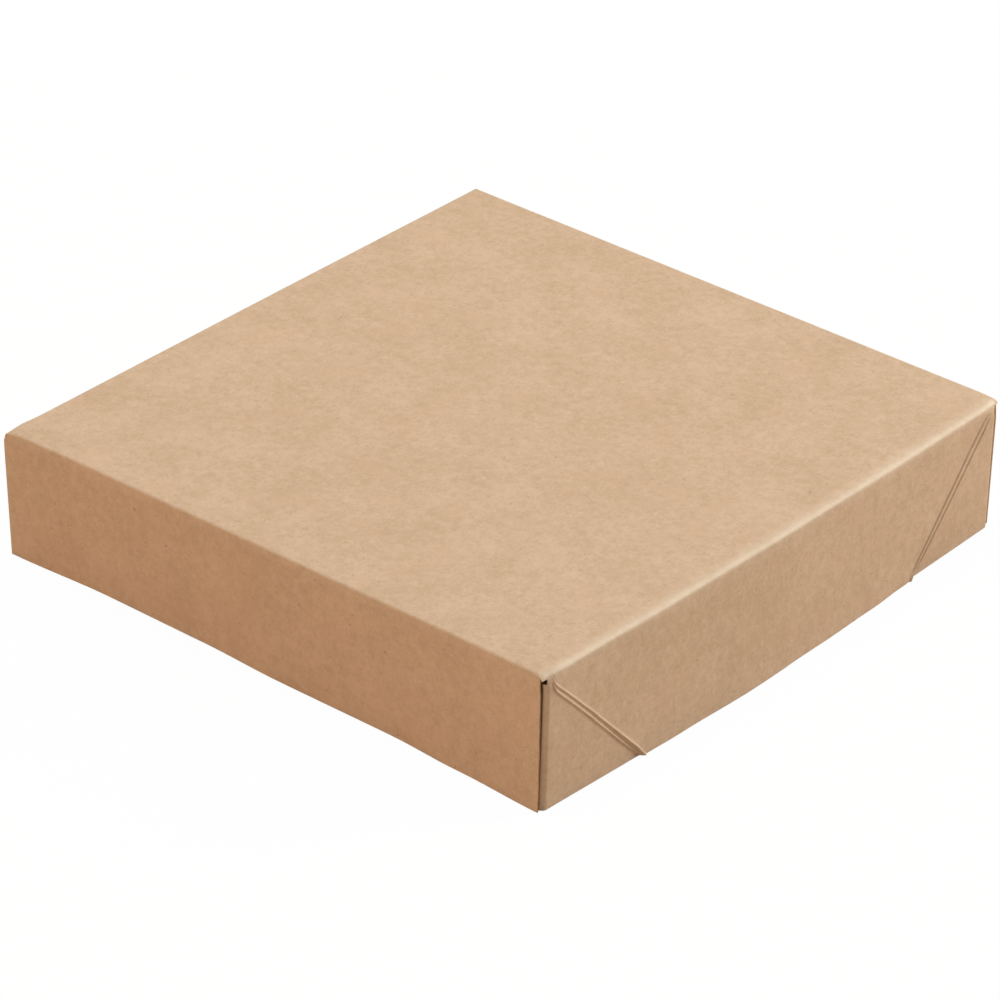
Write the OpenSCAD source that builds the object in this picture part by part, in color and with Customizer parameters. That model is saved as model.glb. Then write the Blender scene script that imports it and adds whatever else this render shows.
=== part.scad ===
// Shallow square carton with a lift-off lid, both folded from kraft board.
//
// Lid and tray are the same kind of blank: one sheet with a panel, four walls and
// four glue flaps. Two opposite walls are plain and run over the corners. The other
// two carry a flap at each end, which turns the corner behind the plain wall and is
// glued to its inside. A diagonal crease at each end of those walls lets the glued
// blank fold flat. The lid is as deep as the tray, so the shut box shows only the lid.
//
// At the lid's free rim the creased walls spring out: the middle of the wall leans
// about its fold, the triangle at each end turns out about its upright corner, and the
// two meet along the diagonal crease.
//
// Frame: origin on the table under the middle of the box, +Z up, plain walls at
// -Y and +Y, creased walls at -X and +X.

/* [Box] */
// Outside width of the lid at its top, across the creased walls
lid_w = 190; // [120:1:320]
// Outside length of the lid, across the plain walls
lid_d = 190; // [120:1:320]
// Depth of the lid, from its top to its rim
lid_h = 39; // [26:0.5:60]
// Height of the lid's rim above the table
rim_lift = 1; // [0.6:0.1:3]
// Gap on each side between the lid and the tray that it slides over
slip_gap = 1.4; // [0.5:0.1:2]
// Gap between the lid's ceiling and the tray's rim, which carries it
seat_gap = 0.3; // [0.2:0.05:0.6]
// How far the rim of each creased wall of the lid springs out
rim_spring = 2.4; // [0:0.1:4]

/* [Board] */
// Thickness of the board
board = 0.5; // [0.4:0.05:0.7]

/* [Folds] */
// Outside radius of the crisp folds at the foot of the plain walls
plain_fold = 0.9; // [0.8:0.05:1.5]
// Outside radius of the soft folds at the foot of the creased walls
soft_fold = 1.7; // [1.2:0.05:2.5]
// Outside radius of the upright folds at the corners
corner_fold = 1.9; // [1.6:0.05:3]

/* [Corners] */
// How far a plain wall stops short of the creased wall's outside
wall_stop = 0.4; // [0.2:0.1:1.5]
// Gap between a plain wall and the fold tucked behind its end
tuck_gap = 0.5; // [0.3:0.05:0.8]
// Height of the folded cap that closes each corner beside the panel
cap_h = 0.9; // [0.8:0.05:1.2]
// Height of the small hole that stays open between cap and corner fold
corner_hole = 1.2; // [0.8:0.1:2.5]
// Length of a glue flap
flap_len = 16; // [10:0.5:22]
// How much each end of a flap is cut back at its free edge
flap_taper = 3; // [1:0.5:5]
// How far a flap's edge stays below the rim
flap_drop = 1; // [0.5:0.1:3]

/* [Creases] */
// Angle between a diagonal crease and the upright corner of the box
crease_angle = 43; // [41:0.5:45]
// Distance between the two ridges of a diagonal crease
ridge_pitch = 1.9; // [1.6:0.1:3.2]
// Height of a ridge above the wall
ridge_rise = 0.35; // [0.2:0.05:0.5]

/* [Hidden] */
$fn = 64;
over = 1;                // overshoot of a cut past the face it leaves
lap = 0.05;              // overlap of two pieces of one sheet where they join
flap_reach = 2 * board + tuck_gap;
lid_top = rim_lift + lid_h;
tray_w = lid_w - 2 * (board + slip_gap);
tray_d = lid_d - 2 * (flap_reach + slip_gap);
tray_h = lid_top - board - seat_gap;

// Turn of a glue flap towards the plain wall, so that its free edge touches it
toe = asin((tuck_gap + lap) / flap_len);

// Angle by which a creased wall leans when its rim springs out by this much.
function lean_of(spring, h) = asin(spring / (h - soft_fold));

// Distance from the middle to where a creased wall starts to turn its corner.
function turn_y(d) = d / 2 - board - tuck_gap - corner_fold;

// Angle by which the end triangle of a leaning wall turns out about its corner.
function turn_of(lean) = asin(sin(lean) / tan(crease_angle));

// Distance from the middle to a creased wall's face, drawn on to the panel's plane.
// The depth is 0 for the outside of the wall and board for its inside.
function face_x(w, lean, depth) =
    w / 2 - soft_fold + (soft_fold * (1 - sin(lean)) - depth) / cos(lean);

// Distance from the middle to where a crease, drawn on, would cross the panel's plane.
function crease_y(d, lean) =
    turn_y(d) + corner_fold * tan(turn_of(lean) / 2) + soft_fold *
        (lean == 0
            ? tan(crease_angle)
            : (1 - (1 - sin(lean)) / cos(lean)) / tan(turn_of(lean)));

// How far the plane that halves a crease drifts along y for each step along x.
function crease_skew(lean) =
    lean == 0 ? 0 : (cos(lean) - cos(turn_of(lean))) / sin(turn_of(lean));

// Outline across two opposite walls and their panel, filled. x runs across, y up.
// The walls lean out by lean, and radius rounds the folds at their foot.
module wall_outline(width, height, radius, lean) {
    axis_x = width / 2 - radius;
    wall_x = axis_x + radius * cos(lean);
    wall_y = radius * (1 - sin(lean));
    rim_x = wall_x + (height - wall_y) * tan(lean);
    polygon([
        [-axis_x, 0], [axis_x, 0],
        [wall_x, wall_y], [rim_x, height],
        [-rim_x, height], [-wall_x, wall_y]
    ]);
    for (side = [-1, 1])
        translate([side * axis_x, radius]) circle(radius);
}

// Block between the plain walls and above the panel, shrunk by inset on every face.
// It stands taller than h, because the rim is cut later.
module plain_block(w, d, h, inset) {
    tall = h + over;
    translate([0, 0, inset])
        rotate([90, 0, 90])
            linear_extrude(w + 2 * tall, center = true)
                wall_outline(d - 2 * inset, tall, plain_fold - inset, 0);
}

// Block that the four walls and the panel enclose, shrunk by inset on every face.
module fold_block(w, d, h, lean, inset) {
    intersection() {
        plain_block(w, d, h, inset);
        translate([0, 0, inset])
            rotate([90, 0, 0])
                linear_extrude(d, center = true)
                    wall_outline(w - 2 * inset, h + over, soft_fold - inset, lean);
    }
}

// Space past the diagonal crease, up to where the corner in +X and +Y starts to turn.
module past_crease(w, d, h, lean) {
    slope = tan(crease_angle);
    skew = crease_skew(lean);
    top = 2 * h;
    multmatrix([
        [1, 0, 0, w / 2 - corner_fold],
        [skew, 1, 0, crease_y(d, lean) + skew * (w / 2 - corner_fold - face_x(w, lean, 0))],
        [0, 0, 1, 0]
    ])
        rotate([90, 0, 90])
            linear_extrude(h)
                polygon([
                    [turn_y(d) + lap - crease_y(d, lean), top],
                    [-top * slope, top],
                    [turn_y(d) + lap - crease_y(d, lean),
                        (crease_y(d, lean) - turn_y(d) - lap) / slope]
                ]);
}

// Panel and four walls, without the creased walls' end triangles and the corners.
module panel_and_walls(w, d, h, lean) {
    difference() {
        fold_block(w, d, h, lean, 0);
        fold_block(w, d, h, lean, board);
        for (sx = [0, 1], sy = [0, 1])
            mirror([sx, 0, 0]) mirror([0, sy, 0]) {
                past_crease(w, d, h, lean);
                translate([w / 2 - wall_stop, turn_y(d), cap_h])
                    cube([h, d, 2 * h]);
                intersection() {
                    plain_block(w, d, h, board);
                    translate([w / 2 - corner_fold, turn_y(d), cap_h])
                        cube([h, d, 2 * h]);
                }
            }
    }
}

// Plan of the strip that comes along a creased wall, turns the corner in +X and +Y
// and ends in the glue flap. Drawn about the axis of the corner fold. The strip comes
// in turned out by this angle, and both straight runs reach into the bend.
module strip_plan(run, turn) {
    reach = 2 * corner_fold;
    rotate(turn) translate([corner_fold - board, -run]) {
        square([board, run]);
        square([board - lap, run + lap]);
    }
    rotate(90 - toe) translate([corner_fold - board, 0]) {
        square([board, flap_len]);
        translate([0, -lap]) square([board - lap, flap_len]);
    }
    intersection() {
        difference() {
            circle(corner_fold);
            circle(corner_fold - board);
        }
        polygon([
            [0, 0],
            [reach * cos(turn), reach * sin(turn)],
            [reach, reach],
            [reach * sin(toe), reach * cos(toe)]
        ]);
    }
}

// End triangle of the creased wall, turned out about the corner in +X and +Y, with
// the upright corner fold and the glue flap, all of one strip.
module corner_strip(w, d, h, lean) {
    foot = cap_h + corner_hole;
    top = h - flap_drop;
    fold_x = w / 2 - corner_fold;
    intersection() {
        translate([fold_x, turn_y(d), 0])
            linear_extrude(h + over) strip_plan(2 * h, turn_of(lean));
        union() {
            translate([0, -lap, 0]) past_crease(w, d, h, lean);
            translate([fold_x, turn_y(d) - lap, foot])
                cube([2 * corner_fold, 2 * corner_fold, h]);
            translate([fold_x, d, 0])
                rotate([90, 0, 0])
                    linear_extrude(d)
                        polygon([
                            [lap, foot], [lap, top],
                            [-flap_len, top - flap_taper],
                            [-flap_len, foot + flap_taper]
                        ]);
        }
    }
}

// The two ridges of the crease that runs from the corner in +X and +Y down the wall.
// Their middle lines lie in the wall's inside face, raised there by sink.
module ridges(w, d, h, lean, radius, sink) {
    intersection() {
        translate([face_x(w, lean, board), crease_y(d, lean), 0])
            rotate([crease_angle, 0, 0])
                rotate([0, atan(tan(lean) * cos(crease_angle)), 0])
                linear_extrude(2 * h)
                    intersection() {
                        for (side = [-1, 1])
                            translate([0, side * ridge_pitch / 2]) circle(radius);
                        translate([sink, -h]) square(2 * h);
                    }
        translate([0, 0, soft_fold]) cube([w, turn_y(d) - lap, 2 * h]);
    }
}

// One box half, standing open on its panel.
module folded_half(w, d, h, spring) {
    lean = lean_of(spring, h);
    difference() {
        union() {
            panel_and_walls(w, d, h, lean);
            for (sx = [0, 1], sy = [0, 1])
                mirror([sx, 0, 0]) mirror([0, sy, 0]) {
                    corner_strip(w, d, h, lean);
                    ridges(w, d, h, lean, board + ridge_rise, lap);
                }
        }
        for (sx = [0, 1], sy = [0, 1])
            mirror([sx, 0, 0]) mirror([0, sy, 0])
                ridges(w, d, h, lean, ridge_rise, -lap);
        translate([-w, -d, h]) cube([2 * w, 2 * d, 2 * h]);
    }
}

module tray() {
    color([0.72, 0.58, 0.44]) folded_half(tray_w, tray_d, tray_h, 0);
}

module lid() {
    color([0.80, 0.67, 0.52])
        translate([0, 0, lid_top]) rotate([180, 0, 0])
            folded_half(lid_w, lid_d, lid_h, rim_spring);
}

tray();
lid();
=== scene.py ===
"""Shallow kraft board box with a full-depth lid: its looks, camera and light.

Lid and tray are each folded from a flat blank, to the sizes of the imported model.
"""

import math
from types import SimpleNamespace

import bmesh
import bpy
from mathutils import Matrix, Vector, noise


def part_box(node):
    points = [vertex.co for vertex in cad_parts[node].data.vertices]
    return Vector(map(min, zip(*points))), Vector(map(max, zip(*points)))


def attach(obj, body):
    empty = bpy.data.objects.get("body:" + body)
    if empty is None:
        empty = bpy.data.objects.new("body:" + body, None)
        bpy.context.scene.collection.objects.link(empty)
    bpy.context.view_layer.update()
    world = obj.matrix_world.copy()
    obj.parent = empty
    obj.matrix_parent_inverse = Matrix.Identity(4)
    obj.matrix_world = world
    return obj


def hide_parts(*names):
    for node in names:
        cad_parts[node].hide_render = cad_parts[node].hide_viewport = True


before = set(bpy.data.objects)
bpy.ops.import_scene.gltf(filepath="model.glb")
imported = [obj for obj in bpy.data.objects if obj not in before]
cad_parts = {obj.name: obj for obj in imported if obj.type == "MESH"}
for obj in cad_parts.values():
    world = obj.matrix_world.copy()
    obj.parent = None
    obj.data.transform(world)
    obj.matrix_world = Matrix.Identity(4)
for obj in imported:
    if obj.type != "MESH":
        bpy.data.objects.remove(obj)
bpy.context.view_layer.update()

MM = 0.001

# Board and folds, in metres
BOARD = 0.5 * MM            # thickness of the board
PLAIN_FOLD = 0.7 * MM       # outside radius where a plain wall meets the panel
SOFT_FOLD = 1.7 * MM        # outside radius where a creased wall meets the panel
CORNER_FOLD = 1.9 * MM      # outside radius of the upright folds
WALL_STOP = 0.4 * MM        # a plain wall ends this far short of the creased wall
TUCK_GAP = 0.5 * MM         # gap between a plain wall and the fold behind its end
CAP = 1.3 * MM              # height of the cap beside the panel's corner
CORNER_HOLE = 1.8 * MM      # height of the hole under the cap
HOLE_START = 1.2 * MM       # how far into the corner's bend the hole begins
FLAP_LENGTH = 16 * MM
FLAP_TAPER = 3 * MM
FLAP_DROP = 1 * MM
CREASE_ANGLE = math.radians(43)     # between a diagonal crease and the upright corner
RIDGE_RISE = 0.35 * MM      # height of a crease's ridges
GLUE_BITE = 0.05 * MM       # how far a flap's free edge reaches into its wall
QUARTER = math.pi / 2
FLAP_TURN = QUARTER - math.asin((TUCK_GAP + GLUE_BITE) / FLAP_LENGTH)

# Sizes that come from the frame
lid_low, lid_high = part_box("lid")
tray_low, tray_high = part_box("tray")
LID_SIZE = lid_high.y - lid_low.y
LID_DEPTH = lid_high.z - lid_low.z
TRAY_WIDTH = tray_high.x - tray_low.x - 2 * RIDGE_RISE
TRAY_LENGTH = tray_high.y - tray_low.y
TRAY_DEPTH = tray_high.z - tray_low.z


def smooth(value):
    """0 below 0, 1 above 1 and an even rise between."""
    value = min(max(value, 0.0), 1.0)
    return value * value * (3 - 2 * value)


class Blank:
    """One half of the box as a flat sheet, with the rule that folds it up.

    u runs across the creased walls and v across the plain ones, both measured over
    the outside of the board. Folded, the half stands open on its panel.
    """

    def __init__(self, width, length, depth):
        self.width, self.length, self.depth = width, length, depth
        self.soft_start = width / 2 - SOFT_FOLD
        self.soft_end = self.soft_start + SOFT_FOLD * QUARTER
        self.plain_start = length / 2 - PLAIN_FOLD
        self.plain_end = self.plain_start + PLAIN_FOLD * QUARTER
        self.rim_u = self.soft_end + depth - SOFT_FOLD
        self.rim_v = self.plain_end + depth - PLAIN_FOLD
        self.turn = length / 2 - BOARD - TUCK_GAP - CORNER_FOLD
        self.flap_v = self.turn + CORNER_FOLD * FLAP_TURN
        self.flap_end = self.flap_v + FLAP_LENGTH
        self.wall_end = width / 2 - WALL_STOP
        self.cap_u = self.soft_start + SOFT_FOLD * math.acos(1 - CAP / SOFT_FOLD)
        self.foot_u = self.soft_end + CAP + CORNER_HOLE - SOFT_FOLD
        self.crease_run = (self.rim_u - self.soft_end) / math.cos(CREASE_ANGLE)
        self.foot_v = self.turn - self.crease_run * math.sin(CREASE_ANGLE)

    def keeps(self, u, v):
        """Whether the board covers this place of the blank."""
        u, v = abs(u), abs(v)
        if u > self.rim_u or v > self.rim_v:
            return False
        if v < self.turn + HOLE_START:
            return True
        if u < self.wall_end or (u < self.cap_u and v < self.plain_end):
            return True
        if u < self.foot_u or v > self.flap_end:
            return False
        if v < self.flap_v:
            return True
        cut = (v - self.flap_v) / FLAP_LENGTH * FLAP_TAPER
        return self.foot_u + cut < u < self.rim_u - FLAP_DROP - cut

    def crease_place(self, across, v):
        """Distance along the diagonal crease from its upper end, and aside from it.

        across is how far the point lies below the soft fold.
        """
        back = self.turn - abs(v)
        along, over = math.cos(CREASE_ANGLE), math.sin(CREASE_ANGLE)
        return across * along + back * over, across * over - back * along

    def fold(self, u, v):
        """The place where this point of the flat sheet comes to lie."""
        side_u, side_v = math.copysign(1, u), math.copysign(1, v)
        u, v = abs(u), abs(v)
        turn = min(max(u - self.soft_start, 0), SOFT_FOLD * QUARTER) / SOFT_FOLD
        x = min(u, self.soft_start) + SOFT_FOLD * math.sin(turn)
        rise_u = SOFT_FOLD * (1 - math.cos(turn)) + max(u - self.soft_end, 0)
        if v > self.turn and u > (self.cap_u + self.foot_u) / 2:
            turn = min(v - self.turn, CORNER_FOLD * FLAP_TURN) / CORNER_FOLD
            run = max(v - self.flap_v, 0)
            x += CORNER_FOLD * (math.cos(turn) - 1) - run * math.sin(turn)
            y = self.turn + CORNER_FOLD * math.sin(turn) + run * math.cos(turn)
            return Vector((side_u * x, side_v * y, rise_u))
        turn = min(max(v - self.plain_start, 0), PLAIN_FOLD * QUARTER) / PLAIN_FOLD
        y = min(v, self.plain_start) + PLAIN_FOLD * math.sin(turn)
        rise_v = PLAIN_FOLD * (1 - math.cos(turn)) + max(v - self.plain_end, 0)
        return Vector((side_u * x, side_v * y, max(rise_u, rise_v)))


def spaced(start, stop, step):
    """Places from start to stop, evenly spaced by about one step."""
    count = max(1, round((stop - start) / step))
    return [start + (stop - start) * i / count for i in range(count + 1)]


def cut_lines(mesh, places, normal, faces=None):
    """Cuts the mesh, or some of its faces, across normal at each of these places."""
    for place in places:
        chosen = mesh.faces[:] if faces is None else [f for f in mesh.faces if faces(f)]
        geometry = set(chosen)
        for face in chosen:
            geometry.update(face.edges)
            geometry.update(face.verts)
        bmesh.ops.bisect_plane(
            mesh, geom=list(geometry), dist=1e-7, plane_co=normal * place, plane_no=normal
        )


GRID = 3.0 * MM             # mesh size on the flats
SOFT_GRID = 0.35 * MM       # mesh size across a soft fold
CORNER_GRID = 0.3 * MM      # mesh size across an upright fold
CRISP_GRID = 0.25 * MM      # mesh size across a crisp fold
CREASE_GRID = 0.16 * MM     # mesh size across a crease
CREASE_REACH = 2.1 * MM     # how far the fine mesh reaches to each side of a crease


def cut_blank(blank):
    """The flat sheet as a mesh with lines along every fold, crease and cut."""
    mesh = bmesh.new()
    bmesh.ops.create_grid(mesh, x_segments=1, y_segments=1, size=1.0)
    bmesh.ops.scale(mesh, vec=(blank.rim_u, blank.rim_v, 1), verts=mesh.verts)
    across = spaced(0, blank.soft_start, GRID) + [blank.wall_end, blank.cap_u]
    across += spaced(blank.soft_start, blank.soft_end, SOFT_GRID)
    across += [blank.foot_u, blank.foot_u + FLAP_TAPER, blank.rim_u - FLAP_DROP]
    across += spaced(blank.soft_end, blank.rim_u, GRID)
    along = spaced(0, blank.turn, GRID) + spaced(blank.turn, blank.flap_v, CORNER_GRID)
    along += spaced(blank.plain_start, blank.plain_end, CRISP_GRID) + [blank.flap_end]
    along += spaced(blank.flap_v, blank.rim_v, GRID)
    for sign in (-1, 1):
        cut_lines(mesh, [sign * u for u in across], Vector((1, 0, 0)))
        cut_lines(mesh, [sign * v for v in along], Vector((0, 1, 0)))

    def near_crease(su, sv):
        def test(face):
            middle = face.calc_center_median()
            across = abs(middle.x) - blank.soft_end
            aside = blank.crease_place(across, middle.y)[1]
            inside = blank.turn > abs(middle.y) and abs(middle.x) > blank.soft_end
            return (
                inside
                and su * middle.x > 0
                and sv * middle.y > 0
                and abs(aside) < CREASE_REACH + GRID
            )
        return test

    def flap_zone(su, sv):
        def test(face):
            middle = face.calc_center_median()
            return su * middle.x > blank.foot_u and sv * middle.y > blank.flap_v
        return test

    offsets = spaced(-CREASE_REACH, CREASE_REACH, CREASE_GRID)
    for su in (-1, 1):
        for sv in (-1, 1):
            diagonal = Vector((su * math.sin(CREASE_ANGLE), sv * math.cos(CREASE_ANGLE), 0))
            start = diagonal.dot(Vector((su * blank.soft_end, sv * blank.turn, 0)))
            cut_lines(mesh, [start + o for o in offsets], diagonal, near_crease(su, sv))
            slope = FLAP_TAPER / FLAP_LENGTH
            for lean, start in ((-1, blank.foot_u), (1, blank.rim_u - FLAP_DROP)):
                cut = Vector((su, sv * lean * slope, 0)).normalized()
                place = cut.dot(Vector((su * start, sv * blank.flap_v, 0)))
                cut_lines(mesh, [place], cut, flap_zone(su, sv))
    away = [
        f for f in mesh.faces
        if not blank.keeps(f.calc_center_median().x, f.calc_center_median().y)
    ]
    bmesh.ops.delete(mesh, geom=away, context="FACES")
    return mesh


RIDGE_WIDTH = 0.36 * MM     # from a ridge's top to where it is down to about a third
RIDGE_WANDER = 0.16 * MM    # how far the ridges wander aside
WANDER_LENGTH = 4 * MM      # about half the length of one such wave
TIP_RISE = 0.3 * MM         # how much higher the ridges stand at the rim
TIP_LENGTH = 2 * MM


def ridge_height(run, aside, length, pitch):
    """Height of a crease's double ridge. The two ridges close up at both ends."""
    aside += RIDGE_WANDER * noise.noise(Vector((run / WANDER_LENGTH, 0, 0)))
    spread = smooth((run + 2 * MM) / (9 * MM)) * smooth((length - run) / (5 * MM))
    half = pitch * (0.1 + 0.4 * spread)
    near = math.exp(-(((aside - half) / RIDGE_WIDTH) ** 2))
    far = math.exp(-(((aside + half) / RIDGE_WIDTH) ** 2))
    start = smooth((run - 0.5 * MM) / (4 * MM))
    tip = TIP_RISE * smooth((run - length + TIP_LENGTH) / TIP_LENGTH)
    return start * (near + far - near * far) * (RIDGE_RISE + tip)


def along_profile(profile, place):
    """Value at a place between the points of a profile, with even curves between."""
    if place <= profile[0][0]:
        return profile[0][1]
    for (start, low), (stop, high) in zip(profile, profile[1:]):
        if place < stop:
            return low + (high - low) * smooth((place - start) / (stop - start))
    return profile[-1][1]


CRISP_WEAR = 0.9 * MM       # how far the wear of a crisp fold reaches to each side
SLIT_SHADE_START = 2.05 * MM      # how far round the corner the painted shade of the slit begins
SLIT_SHADE_RAMP = 0.6 * MM

# How pale the board is made over a soft fold, by the distance past the start of the bend: a
# painted highlight where the bend turns to the light, partly real wearing
SOFT_WEAR_AND_HIGHLIGHT = (
    (-1.8 * MM, 0.0), (-0.5 * MM, 0.15), (0.5 * MM, 0.6), (1.2 * MM, 1.0),
    (1.65 * MM, 0.95), (2.05 * MM, 0.3), (3.2 * MM, 0.12), (6.0 * MM, 0.0),
)


def fold_up(blank, mesh, worn_and_highlit, creases):
    """Folds the flat mesh and raises the ridges of its diagonal creases.

    The third argument gives for each creased wall how pale its fold is made, partly by
    wearing and partly as a painted highlight, and creases gives for each crease the
    distance between its ridges and how strong the painted shade on their flanks is,
    partly the darker pressed board. The marks that the board's finish reads are the
    fold's paleness, the painted shade of the crease flanks and the painted shade deep
    in the slit.
    """
    fold_mark = mesh.verts.layers.float.new("fold")
    flank_shade_mark = mesh.verts.layers.float.new("score_and_shade")
    slit_shade_mark = mesh.verts.layers.float.new("slit")
    for vert in mesh.verts:
        u, v = vert.co.x, vert.co.y
        side, way = math.copysign(1, u), math.copysign(1, v)
        vert.co = blank.fold(u, v)
        if abs(v) < blank.turn and abs(u) > blank.soft_end:
            run, aside = blank.crease_place(abs(u) - blank.soft_end, v)
            pitch, flank_shade = creases[side, way]
            rise = ridge_height(run, aside, blank.crease_run, pitch)
            vert.co.x += side * rise
            share = min(rise / RIDGE_RISE, 1)
            # Ridge crests are painted pale: a painted highlight, partly real wearing.
            vert[fold_mark] = 0.3 * share
            # Brown ridge flanks: painted shade in the crease, partly the darker pressed board.
            vert[flank_shade_mark] = flank_shade * 4 * share * (1 - share)
        # The soft fold's pale band: a painted highlight, strongest on the lit side, partly
        # real wearing.
        if abs(v) < blank.turn + CORNER_FOLD:
            wear_and_highlight = worn_and_highlit[side] * along_profile(SOFT_WEAR_AND_HIGHLIGHT, abs(u) - blank.soft_start)
            vert[fold_mark] = max(vert[fold_mark], wear_and_highlight)
        crisp = abs(abs(v) - (blank.plain_start + blank.plain_end) / 2)
        if abs(u) > blank.wall_end:
            crisp = max(blank.turn + CORNER_FOLD * 0.8 - abs(v), 0)
        vert[fold_mark] = max(vert[fold_mark], 0.25 * smooth(1 - crisp / CRISP_WEAR))
        # Painted shade: the fold behind a plain wall's end is darkened deep in the slit.
        if abs(u) > blank.foot_u - 0.1 * MM and abs(v) > blank.turn:
            vert[slit_shade_mark] = smooth((abs(v) - blank.turn - SLIT_SHADE_START) / SLIT_SHADE_RAMP)


SKIN = 2 * MM               # a creased wall lies this near to the full width
SEAM = 1.2 * MM             # width in which the two planes of a sprung wall meet
CREEP_RAMP = 3 * MM         # how soon a crease's shift comes in beside the corner
CREEP_END = 100 * MM        # how far from the corner it has died away
CREEP_FADE = 60 * MM
END_REACH = 24 * MM         # how far back the longer end of a plain wall is spread
END_START = 0.35 * MM       # how far below the panel it begins
END_RAMP = 1.1 * MM
BULGE_REACH = 40 * MM       # how far into the panel a soft fold's bulge is felt
TUCK_REACH = 25 * MM        # how far into the panel a crisp fold's tuck is felt
TIP_REACH = 6 * MM          # how far the shift of a panel's corner is felt
TIP_DEPTH = 5 * MM


def creased_wall_shift(blank, shape, side, y, drop, share):
    """How far a place on a creased wall springs out, and how far it moves along y.

    The middle of the wall leans about its fold and the end triangle about its corner.
    """
    way = math.copysign(1, y)
    back = blank.turn - abs(y)
    rim = along_profile(shape.bows[side], y) * MM
    foot = along_profile(shape.bows[side], way * blank.foot_v) * MM
    aside = blank.crease_place(drop - SOFT_FOLD, y)[1]
    lean = back / (blank.turn - blank.foot_v)
    step = shape.steps[side, way] * MM * share ** 2
    middle, end = rim * share + step / 2, foot * lean - step / 2 * min(lean, 1)
    past = smooth((aside + SEAM / 2) / SEAM)
    ramp = smooth(back / CREEP_RAMP) * smooth((CREEP_END - back) / CREEP_FADE)
    creep = along_profile(shape.creeps[side, way], share) * MM * ramp
    return middle + (end - middle) * past, way * creep


def spring_walls(mesh, blank, shape, top):
    """Bends the walls of a folded half, whose panel's face lies at top.

    shape holds, all in millimetres and by wall or by corner:
    bows, how far the rim of a creased wall springs out along y;
    bulges, how far its fold at the panel does;
    steps, how far its rim drops back past a crease;
    creeps, how far a crease lies nearer to its corner, by the share of the depth;
    hollows, how far the rim of a plain wall curves in along x;
    tucks, how far its fold at the panel does;
    ends, how much longer its end is at the panel and at the rim;
    tips, the shift of a corner of the panel;
    corners, the shift of a corner of the rim.
    """
    for vert in mesh.verts:
        x, y = vert.co.x, vert.co.y
        side, way = math.copysign(1, x), math.copysign(1, y)
        drop = abs(top - vert.co.z)
        share = max(drop - SOFT_FOLD, 0) / (blank.depth - SOFT_FOLD)
        if abs(y) >= blank.turn:
            vert.co.y -= way * along_profile(shape.hollows[way], x) * MM * share
        elif abs(x) > blank.width / 2 - SKIN:
            out, creep = creased_wall_shift(blank, shape, side, y, drop, share)
            vert.co.x += side * out
            vert.co.y += creep
        if abs(y) > blank.turn + CORNER_FOLD and abs(x) < blank.wall_end + 0.01 * MM:
            panel_end, rim_end = shape.ends[side, way]
            longer = (panel_end + (rim_end - panel_end) * share) * MM
            longer *= smooth((drop - END_START) / END_RAMP)
            vert.co.x += side * longer * smooth(1 - (blank.wall_end - abs(x)) / END_REACH)
        bulge = along_profile(shape.bulges[side], y) * MM * (1 - share)
        vert.co.x += side * bulge * smooth(1 - (blank.soft_start - abs(x)) / BULGE_REACH)
        tuck = along_profile(shape.tucks[way], x) * MM * (1 - share)
        vert.co.y -= way * tuck * smooth(1 - (blank.plain_start - abs(y)) / TUCK_REACH)
        right, rear = x / blank.width + 0.5, y / blank.length + 0.5
        shift = Vector((0, 0, 0))
        for (sx, sy), move in shape.corners.items():
            weight = (right if sx > 0 else 1 - right) * (rear if sy > 0 else 1 - rear)
            shift += weight * Vector(move) * MM
        vert.co += shift * share
        away = math.hypot(blank.width / 2 - abs(x), blank.length / 2 - abs(y))
        near = smooth(1 - away / TIP_REACH) * smooth(1 - drop / TIP_DEPTH)
        vert.co += Vector(shape.tips[side, way]) * MM * near


def ripple(mesh, height, size, seed):
    """Gives the board the slight dents of card that has been handled."""
    mesh.normal_update()
    for vert in mesh.verts:
        wave = noise.noise(vert.co / size + Vector((seed, 0, 0)))
        vert.co += vert.normal * abs(wave) * height


SHARP = 0.6                 # angle in radians from which an edge is drawn sharp


def make_board(name, mesh, finishes):
    """Gives the folded sheet its thickness and makes it an object."""
    bmesh.ops.reverse_faces(mesh, faces=mesh.faces)
    data = bpy.data.meshes.new(name)
    for finish in finishes:
        data.materials.append(finish)
    mesh.to_mesh(data)
    mesh.free()
    piece = bpy.data.objects.new(name, data)
    bpy.context.scene.collection.objects.link(piece)
    board = piece.modifiers.new("board", "SOLIDIFY")
    board.thickness = BOARD
    board.offset = -1
    board.material_offset_rim = 1
    bpy.context.view_layer.update()
    evaluated = piece.evaluated_get(bpy.context.evaluated_depsgraph_get())
    piece.data = bpy.data.meshes.new_from_object(evaluated)
    piece.modifiers.clear()
    solid = bmesh.new()
    solid.from_mesh(piece.data)
    for face in solid.faces:
        face.smooth = True
    for edge in solid.edges:
        edge.smooth = len(edge.link_faces) == 2 and edge.calc_face_angle(0) < SHARP
    solid.to_mesh(piece.data)
    solid.free()
    return piece


class Number:
    """A value inside a finish, so that shader maths reads as plain expressions."""

    def __init__(self, finish, socket):
        self.finish, self.socket = finish, socket

    def maths(self, operation, other):
        settings = {"operation": operation}
        return self.finish.add("ShaderNodeMath", settings, {0: self, 1: other})

    def __add__(self, other):
        return self.maths("ADD", other)

    def __mul__(self, other):
        return self.maths("MULTIPLY", other)

    __radd__ = __add__
    __rmul__ = __mul__

    def between(self, low, high):
        """0 at low, 1 at high, with an even rise between."""
        settings = {"interpolation_type": "SMOOTHSTEP"}
        sockets = {"Value": self, "From Min": low, "From Max": high}
        return self.finish.add("ShaderNodeMapRange", settings, sockets)


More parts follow.
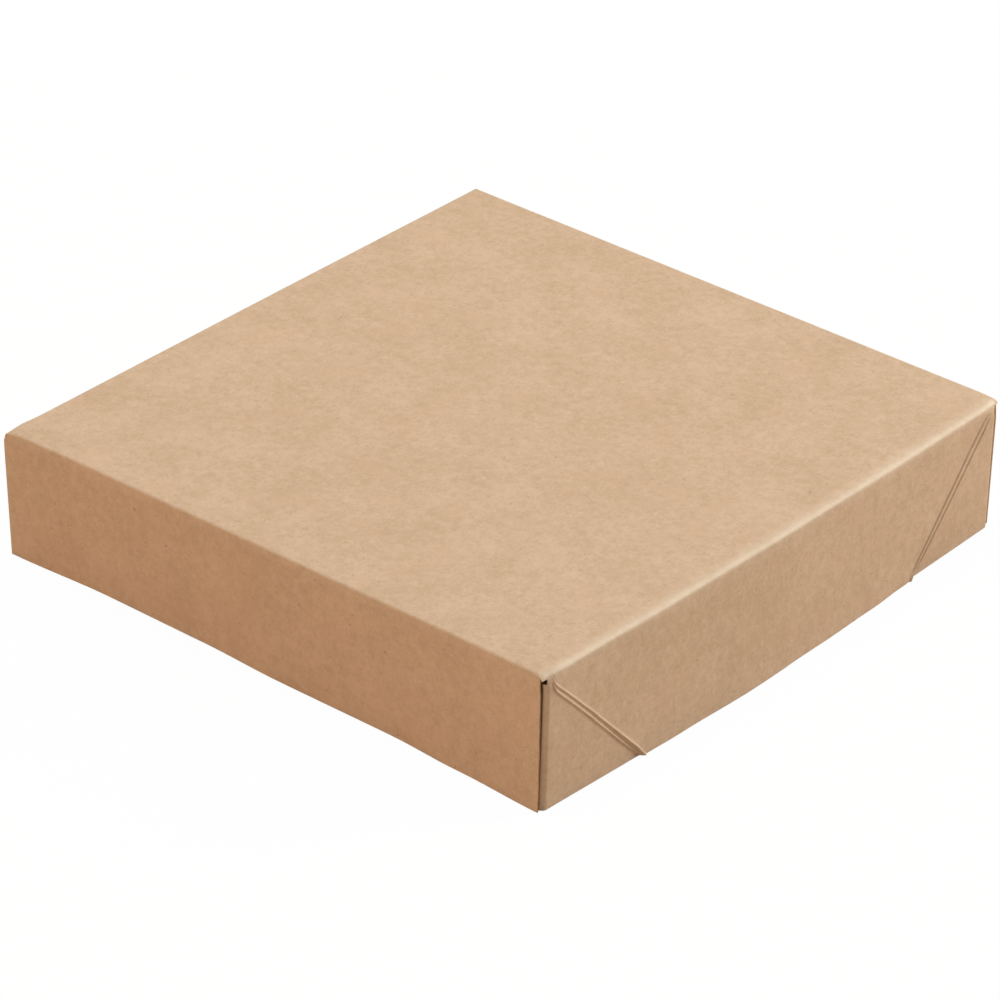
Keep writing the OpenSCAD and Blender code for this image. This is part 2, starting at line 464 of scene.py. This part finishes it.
class Finish:
    """A material, or the world's light, while its nodes are being laid."""

    def __init__(self, owner):
        owner.use_nodes = True
        self.owner = owner
        self.tree = owner.node_tree
        self.tree.nodes.clear()

    def place(self):
        """Place on the piece, in the piece's own coordinates."""
        return self.add("ShaderNodeTexCoord", None, None, "Object")

    def mark(self, name):
        """One of the marks that folding leaves on the board."""
        return self.add("ShaderNodeAttribute", {"attribute_name": name}, None, "Fac")

    def add(self, kind, settings=None, sockets=None, output=0):
        """Adds a node, sets it up, fills its sockets and gives back one output."""
        node = self.tree.nodes.new(kind)
        for key, value in (settings or {}).items():
            setattr(node, key, value)
        for key, value in (sockets or {}).items():
            if isinstance(value, Number):
                self.tree.links.new(value.socket, node.inputs[key])
            else:
                node.inputs[key].default_value = value
        return Number(self, node.outputs[output])

    def mix(self, factor, first, second):
        """Colour that goes from first to second."""
        settings = {"data_type": "RGBA", "blend_type": "MIX"}
        return self.add("ShaderNodeMix", settings, {0: factor, 6: first, 7: second}, 2)

    def stretched(self, place, scale, turn=(0, 0, 0)):
        """Coordinates turned and then scaled, for patterns with a grain."""
        sockets = {"Vector": place, "Rotation": turn, "Scale": scale}
        return self.add("ShaderNodeMapping", {"vector_type": "POINT"}, sockets)

    def bump(self, height, strength, distance):
        """Normal of a surface with this relief."""
        sockets = {"Strength": strength, "Distance": distance, "Height": height}
        return self.add("ShaderNodeBump", None, sockets)

    def unlit(self):
        """1 where a ray comes from the camera, a mirror or glass, and 0 for light."""
        rays = [
            self.add("ShaderNodeLightPath", None, None, kind)
            for kind in ("Is Camera Ray", "Is Glossy Ray", "Is Transmission Ray")
        ]
        return rays[0] + rays[1] + rays[2]

    def noise(self, where, scale, detail=2.0, roughness=0.5, warp=0.0):
        """Soft noise from 0 to 1."""
        sockets = {
            "Vector": where, "Scale": scale, "Detail": detail,
            "Roughness": roughness, "Distortion": warp,
        }
        return self.add("ShaderNodeTexNoise", None, sockets)

    def done(self, shader, end="ShaderNodeOutputMaterial"):
        """Lays the last node and gives back the material or the world."""
        last = self.tree.nodes.new(end)
        self.tree.links.new(shader.socket, last.inputs["Surface"])
        return self.owner


def srgb(red, green, blue):
    """Linear colour for values read off a screen."""
    def linear(part):
        part /= 255
        return part / 12.92 if part <= 0.04045 else ((part + 0.055) / 1.055) ** 2.4
    return (linear(red), linear(green), linear(blue), 1.0)


def kraft_board(name, pale, deep):
    """Kraft board: cloudy brown pulp with long fibres and dark flecks, pale folds that are
    partly a painted highlight, and painted shade on crease flanks and in the slits.
    """
    board = Finish(bpy.data.materials.new(name))
    place = board.place()
    clouds = board.noise(place, 55, 3, 0.55)
    mottle = board.noise(place, 320, 3, 0.6)
    grain = board.noise(board.stretched(place, (1.0, 0.28, 1.0)), 1500, 3, 0.65)
    cross = board.noise(board.stretched(place, (0.3, 1.0, 1.0), (0, 0, 0.5)), 1300, 2, 0.6)
    curls = board.noise(place, 620, 2, 0.55, 1.2)
    tone = clouds * 0.26 + mottle * 0.30 + curls * 0.28 + grain * 0.16
    colour = board.mix(tone.between(0.34, 0.66), deep, pale)
    blush = board.noise(place, 90, 2, 0.5)
    colour = board.mix(blush.between(0.5, 0.72) * 0.25, colour, BLUSH)

    along = board.stretched(place, (0.35, 1.0, 1.0), (0.3, 0.2, 0.9))
    fibres = board.noise(along, 1200, 1, 0.5, 0.9)
    along = board.stretched(place, (1.0, 0.33, 1.0), (0.2, 0.4, -0.4))
    more = board.noise(along, 1100, 1, 0.5, 1.0)
    dark = fibres.between(0.70, 0.78) + more.between(0.71, 0.79)
    light = fibres.between(0.30, 0.22) + more.between(0.29, 0.21)
    specks = board.noise(place, 900, 1, 0.5)
    colour = board.mix(dark * 0.18, colour, DARK_FIBRE)
    colour = board.mix(specks.between(0.74, 0.78) * 0.35, colour, SPECK)
    colour = board.mix(light * 0.16, colour, PALE_FIBRE)

    # Pale over the folds and ridge crests: real wearing, and on the lit soft fold and the
    # crests a painted highlight.
    rub_and_highlight = board.mark("fold") * (0.6 + 0.7 * mottle)
    colour = board.mix(rub_and_highlight * FOLD_WEAR_AND_HIGHLIGHT, colour, RUBBED_AND_HIGHLIGHT)
    # Painted shade on the flanks of the crease ridges, partly the darker pressed board.
    colour = board.mix(board.mark("score_and_shade") * 0.45, colour, SCORED_FLANK_SHADE)
    # Painted shade, nearly black-brown, deep in the slit behind a plain wall's end.
    colour = board.mix(board.mark("slit") * 0.9, colour, SLIT_SHADE)

    relief = grain * 0.3 + cross * 0.2 + curls * 0.6 + mottle * 1.0 + (dark + light) * 0.25
    return board.done(board.add(
        "ShaderNodeBsdfPrincipled", None,
        {
            "Base Color": colour, "Roughness": 0.72 + 0.12 * grain,
            "Normal": board.bump(relief, 0.6, 0.12 * MM), "Specular IOR Level": 0.35,
        },
    ))


def cut_board(name, pale, deep):
    """The cut edge of the board, where the layers of pulp show."""
    board = Finish(bpy.data.materials.new(name))
    place = board.place()
    pulp = board.noise(place, 2600, 3, 0.7)
    patch = board.noise(place, 300, 2, 0.5)
    colour = board.mix((pulp * 0.6 + patch * 0.4).between(0.35, 0.65), deep, pale)
    return board.done(board.add(
        "ShaderNodeBsdfPrincipled", None,
        {
            "Base Color": colour, "Roughness": 0.85,
            "Normal": board.bump(pulp, 0.5, 0.1 * MM), "Specular IOR Level": 0.2,
        },
    ))


BLUSH = srgb(213, 176, 145)         # faint warm patches in the pulp
DARK_FIBRE = srgb(130, 98, 68)
PALE_FIBRE = srgb(238, 218, 190)
SPECK = srgb(112, 80, 54)
RUBBED_AND_HIGHLIGHT = srgb(238, 220, 194)        # board pale over a fold: wearing, and on the lit fold a painted highlight
FOLD_WEAR_AND_HIGHLIGHT = 0.75                    # how far the palest fold goes to that colour
SCORED_FLANK_SHADE = srgb(150, 104, 66)         # painted shade on the flanks of a crease's ridges, partly the darker pressed board
SLIT_SHADE = srgb(88, 50, 24)             # painted shade deep in the slit at a plain wall's end

kraft_face = kraft_board("kraft_face", srgb(218, 189, 158), srgb(198, 169, 136))
kraft_edge = cut_board("kraft_cut_edge", srgb(186, 144, 102), srgb(150, 110, 74))


DENT = 0.08 * MM            # depth of the dents in the board
DENT_SIZE = 45 * MM         # about their distance from each other


def finished(name, sheet, body):
    """Turns a folded sheet into the finished piece that stands for its solid."""
    ripple(sheet, DENT, DENT_SIZE, len(name))
    piece = make_board(name, sheet, (kraft_face, kraft_edge))
    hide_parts(body)
    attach(piece, body)


# Tray, standing open on its panel
tray_blank = Blank(TRAY_WIDTH, TRAY_LENGTH, TRAY_DEPTH)
sheet = cut_blank(tray_blank)
# For each crease: the distance between its ridges, and how strong the painted shade on its
# flanks is.
creases = {(su, sv): (1.9 * MM, 0.4) for su in (-1, 1) for sv in (-1, 1)}
fold_up(tray_blank, sheet, {1: 0.3, -1: 0.3}, creases)
finished("folded_tray", sheet, "tray")

# Lid, folded the same way, turned over and sprung at its rim
lid_blank = Blank(LID_SIZE, LID_SIZE, LID_DEPTH)
sheet = cut_blank(lid_blank)
creases |= {(1, -1): (2.2 * MM, 1.0), (1, 1): (1.4 * MM, 0.3)}
# The right-hand fold, which faces the light, is painted palest: a painted highlight, partly
# wearing.
fold_up(lid_blank, sheet, {1: 1.0, -1: 0.25}, creases)
bmesh.ops.rotate(
    sheet, cent=(0, 0, 0), matrix=Matrix.Rotation(math.pi, 3, "X"), verts=sheet.verts
)
bmesh.ops.translate(sheet, vec=(0, 0, lid_high.z), verts=sheet.verts)
shape = SimpleNamespace(
    bows={
        1: (
            (-57 * MM, 2.0), (-43 * MM, 2.5), (-14 * MM, 3.4), (15 * MM, 3.0),
            (39 * MM, 2.4), (53 * MM, 1.6), (58 * MM, 1.3),
        ),
        -1: ((-57 * MM, 1.8), (0, 2.4), (57 * MM, 1.8)),
    },
    bulges={
        1: (
            (-95 * MM, 0.5), (-72 * MM, 0.8), (-45 * MM, 1.4), (0, 1.6),
            (40 * MM, 1.3), (95 * MM, 0.3),
        ),
        -1: ((-95 * MM, 1.1), (-82 * MM, 0.4), (0, 0.5), (95 * MM, 0.3)),
    },
    steps={(1, -1): 0.9, (1, 1): 0.7, (-1, -1): 0.6, (-1, 1): 0.6},
    creeps={
        (1, -1): ((0, 1.6), (0.5, 0.35), (1, 0)), (1, 1): ((0, -0.6), (1, -0.3)),
        (-1, -1): ((0, 0), (1, 0)), (-1, 1): ((0, 0), (1, 0)),
    },
    hollows={
        -1: (
            (-95 * MM, 0.6), (-60 * MM, 2.1), (-25 * MM, 2.0), (3 * MM, 1.1),
            (42 * MM, 1.3), (66 * MM, 0.2), (95 * MM, -1.0),
        ),
        1: ((-95 * MM, 0), (0, 1.2), (95 * MM, 0)),
    },
    tucks={
        -1: (
            (-95 * MM, 0.2), (-65 * MM, 0.75), (10 * MM, 0.85), (60 * MM, 1.0),
            (95 * MM, 0.8),
        ),
        1: ((-95 * MM, 0), (95 * MM, 0)),
    },
    ends={
        (-1, -1): (1.0, 0.6), (1, -1): (-0.9, -0.4),
        (1, 1): (-0.5, -0.65), (-1, 1): (0, 0),
    },
    tips={
        (-1, -1): (0.2, 0, -0.6), (1, -1): (-0.9, 0.1, -0.6),
        (1, 1): (-1.0, 0, -0.3), (-1, 1): (0, 0, 0),
    },
    corners={
        (-1, -1): (-0.8, 0, 0), (1, -1): (0.8, -0.2, -0.9),
        (1, 1): (-0.3, -1.2, 0), (-1, 1): (0, 0, 0),
    },
)
spring_walls(sheet, lid_blank, shape, lid_high.z)
finished("folded_lid", sheet, "lid")


FLOOR_LIGHT = 0.07          # share of the floor's own shade that the camera sees


def floor_finish():
    """Pale floor that reads as white behind the object and keeps a soft shadow."""
    floor = Finish(bpy.data.materials.new("pale_floor"))
    plain = floor.add(
        "ShaderNodeBsdfDiffuse", None, {"Color": (0.65, 0.50, 0.38, 1), "Roughness": 0.5}
    )
    white = floor.add(
        "ShaderNodeEmission", None, {"Color": (0.985, 0.995, 1, 1), "Strength": 1.05}
    )
    return floor.done(floor.add(
        "ShaderNodeMixShader", None,
        {0: floor.unlit() * (1 - FLOOR_LIGHT), 1: plain, 2: white},
    ))


ground = bmesh.new()
bmesh.ops.create_grid(ground, x_segments=1, y_segments=1, size=6.0)
floor_data = bpy.data.meshes.new("floor")
ground.to_mesh(floor_data)
ground.free()
floor_data.materials.append(floor_finish())
floor = bpy.data.objects.new("floor", floor_data)
bpy.context.scene.collection.objects.link(floor)


def lamp(name, place, target, size, power, colour):
    """Large soft area lamp aimed at a point."""
    data = bpy.data.lights.new(name, "AREA")
    data.shape = "SQUARE"
    data.size = size
    data.energy = power
    data.color = colour
    light = bpy.data.objects.new(name, data)
    light.location = place
    light.rotation_euler = (Vector(target) - Vector(place)).to_track_quat("-Z", "Y").to_euler()
    bpy.context.scene.collection.objects.link(light)


lamp("top_lamp", (-0.3, 0.1, 1.7), (0, 0, 0), 1.0, 12.5, (1.0, 0.99, 0.98))
lamp("back_lamp", (1.05, 1.65, 0.75), (0, 0, 0), 0.7, 30, (1.0, 0.985, 0.97))
lamp("fill_lamp", (-0.7, -1.5, 0.5), (0, 0, 0.02), 1.0, 8.5, (1.0, 0.62, 0.38))

# Even light from all round, white behind the object
sky = Finish(bpy.data.worlds.new("studio"))
glow = sky.add("ShaderNodeBackground", None, {"Color": (1.0, 0.99, 0.97, 1), "Strength": 0.3})
white = sky.add("ShaderNodeBackground", None, {"Color": (1, 1, 1, 1), "Strength": 1.0})
behind = sky.add("ShaderNodeMixShader", None, {0: sky.unlit(), 1: glow, 2: white})
bpy.context.scene.world = sky.done(behind, "ShaderNodeOutputWorld")

# Camera, at the photograph's angle
AZIMUTH, ELEVATION = math.radians(41.252), math.radians(30.247)
DISTANCE = 1620.3 * MM
SIDEWAYS, UPWARDS = -1.5 * MM, -5.72 * MM   # shift of the camera across its view
FOCUS, FRAME = 5964.6, 1000                 # focal length and image width in pixels
SENSOR = 36                                 # width in millimetres
back = Vector((
    math.sin(AZIMUTH) * math.cos(ELEVATION),
    -math.cos(AZIMUTH) * math.cos(ELEVATION),
    math.sin(ELEVATION),
))
aim = (-back).to_track_quat("-Z", "Y")
right, up = aim @ Vector((1, 0, 0)), aim @ Vector((0, 1, 0))
camera_data = bpy.data.cameras.new("camera")
camera_data.sensor_width = SENSOR
camera_data.lens = FOCUS / FRAME * SENSOR
camera_data.clip_start, camera_data.clip_end = 0.05, 50
camera = bpy.data.objects.new("camera", camera_data)
camera.rotation_mode = "QUATERNION"
camera.rotation_quaternion = aim
middle = Vector((0, 0, lid_high.z / 2))
camera.location = middle + back * DISTANCE + right * SIDEWAYS + up * UPWARDS
bpy.context.scene.collection.objects.link(camera)
bpy.context.scene.camera = camera

bpy.context.scene.view_settings.view_transform = "Standard"
